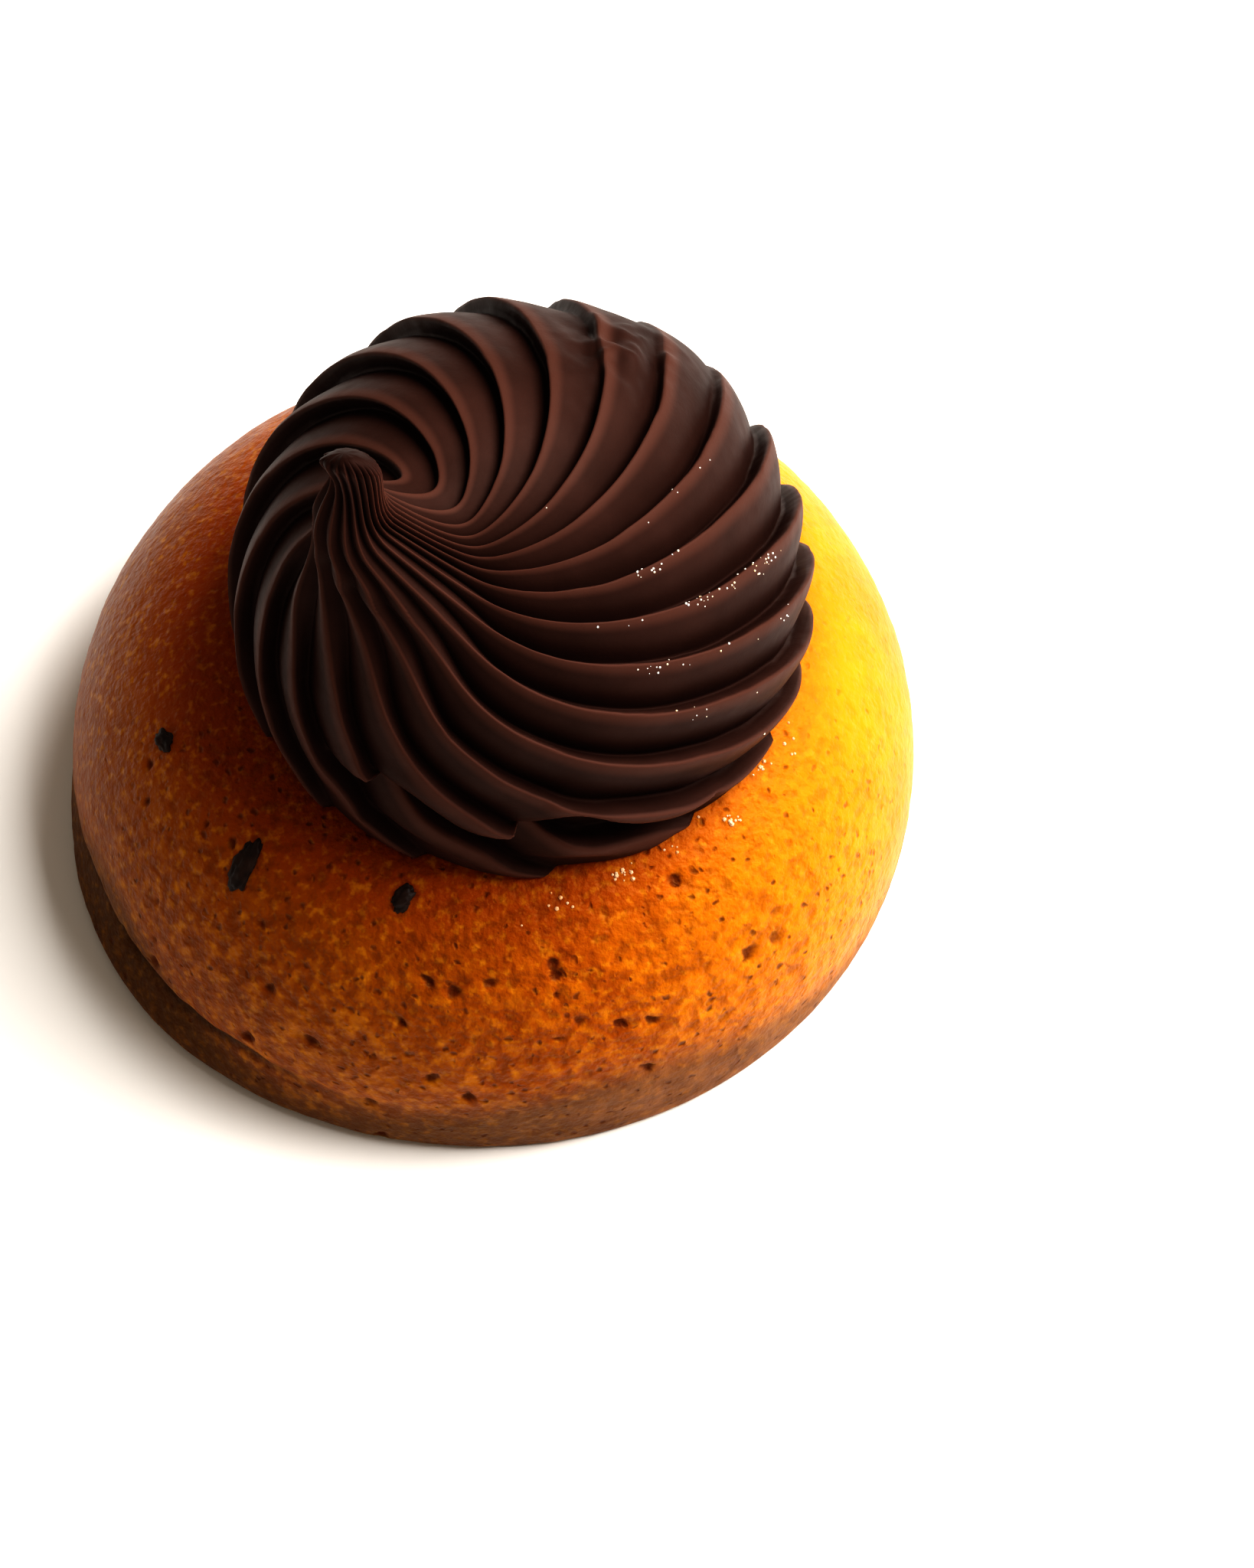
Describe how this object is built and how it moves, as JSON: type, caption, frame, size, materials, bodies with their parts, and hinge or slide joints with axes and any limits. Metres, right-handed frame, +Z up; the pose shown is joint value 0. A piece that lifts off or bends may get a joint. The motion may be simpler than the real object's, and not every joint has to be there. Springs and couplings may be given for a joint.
{
  "type": "tigre cake",
  "caption": "Small ring-mould almond cake, golden and flecked with chocolate, topped with a piped swirl of dark chocolate ganache that ends in a bent tip",
  "frame": {"origin": "the middle of the flat base, on the surface that the cake stands on", "axes": "+Z up; the picture looks along +Y and down; the swirl leans towards -X and -Y"},
  "size_m": [0.0706, 0.07, 0.0602],
  "materials": {
    "crust": "baked golden crust, soft sheen",
    "ganache": "dark chocolate ganache, satin"
  },
  "bodies": {
    "root": {"sponge": "crust", "ganache": "ganache"}
  },
  "joints": []
}
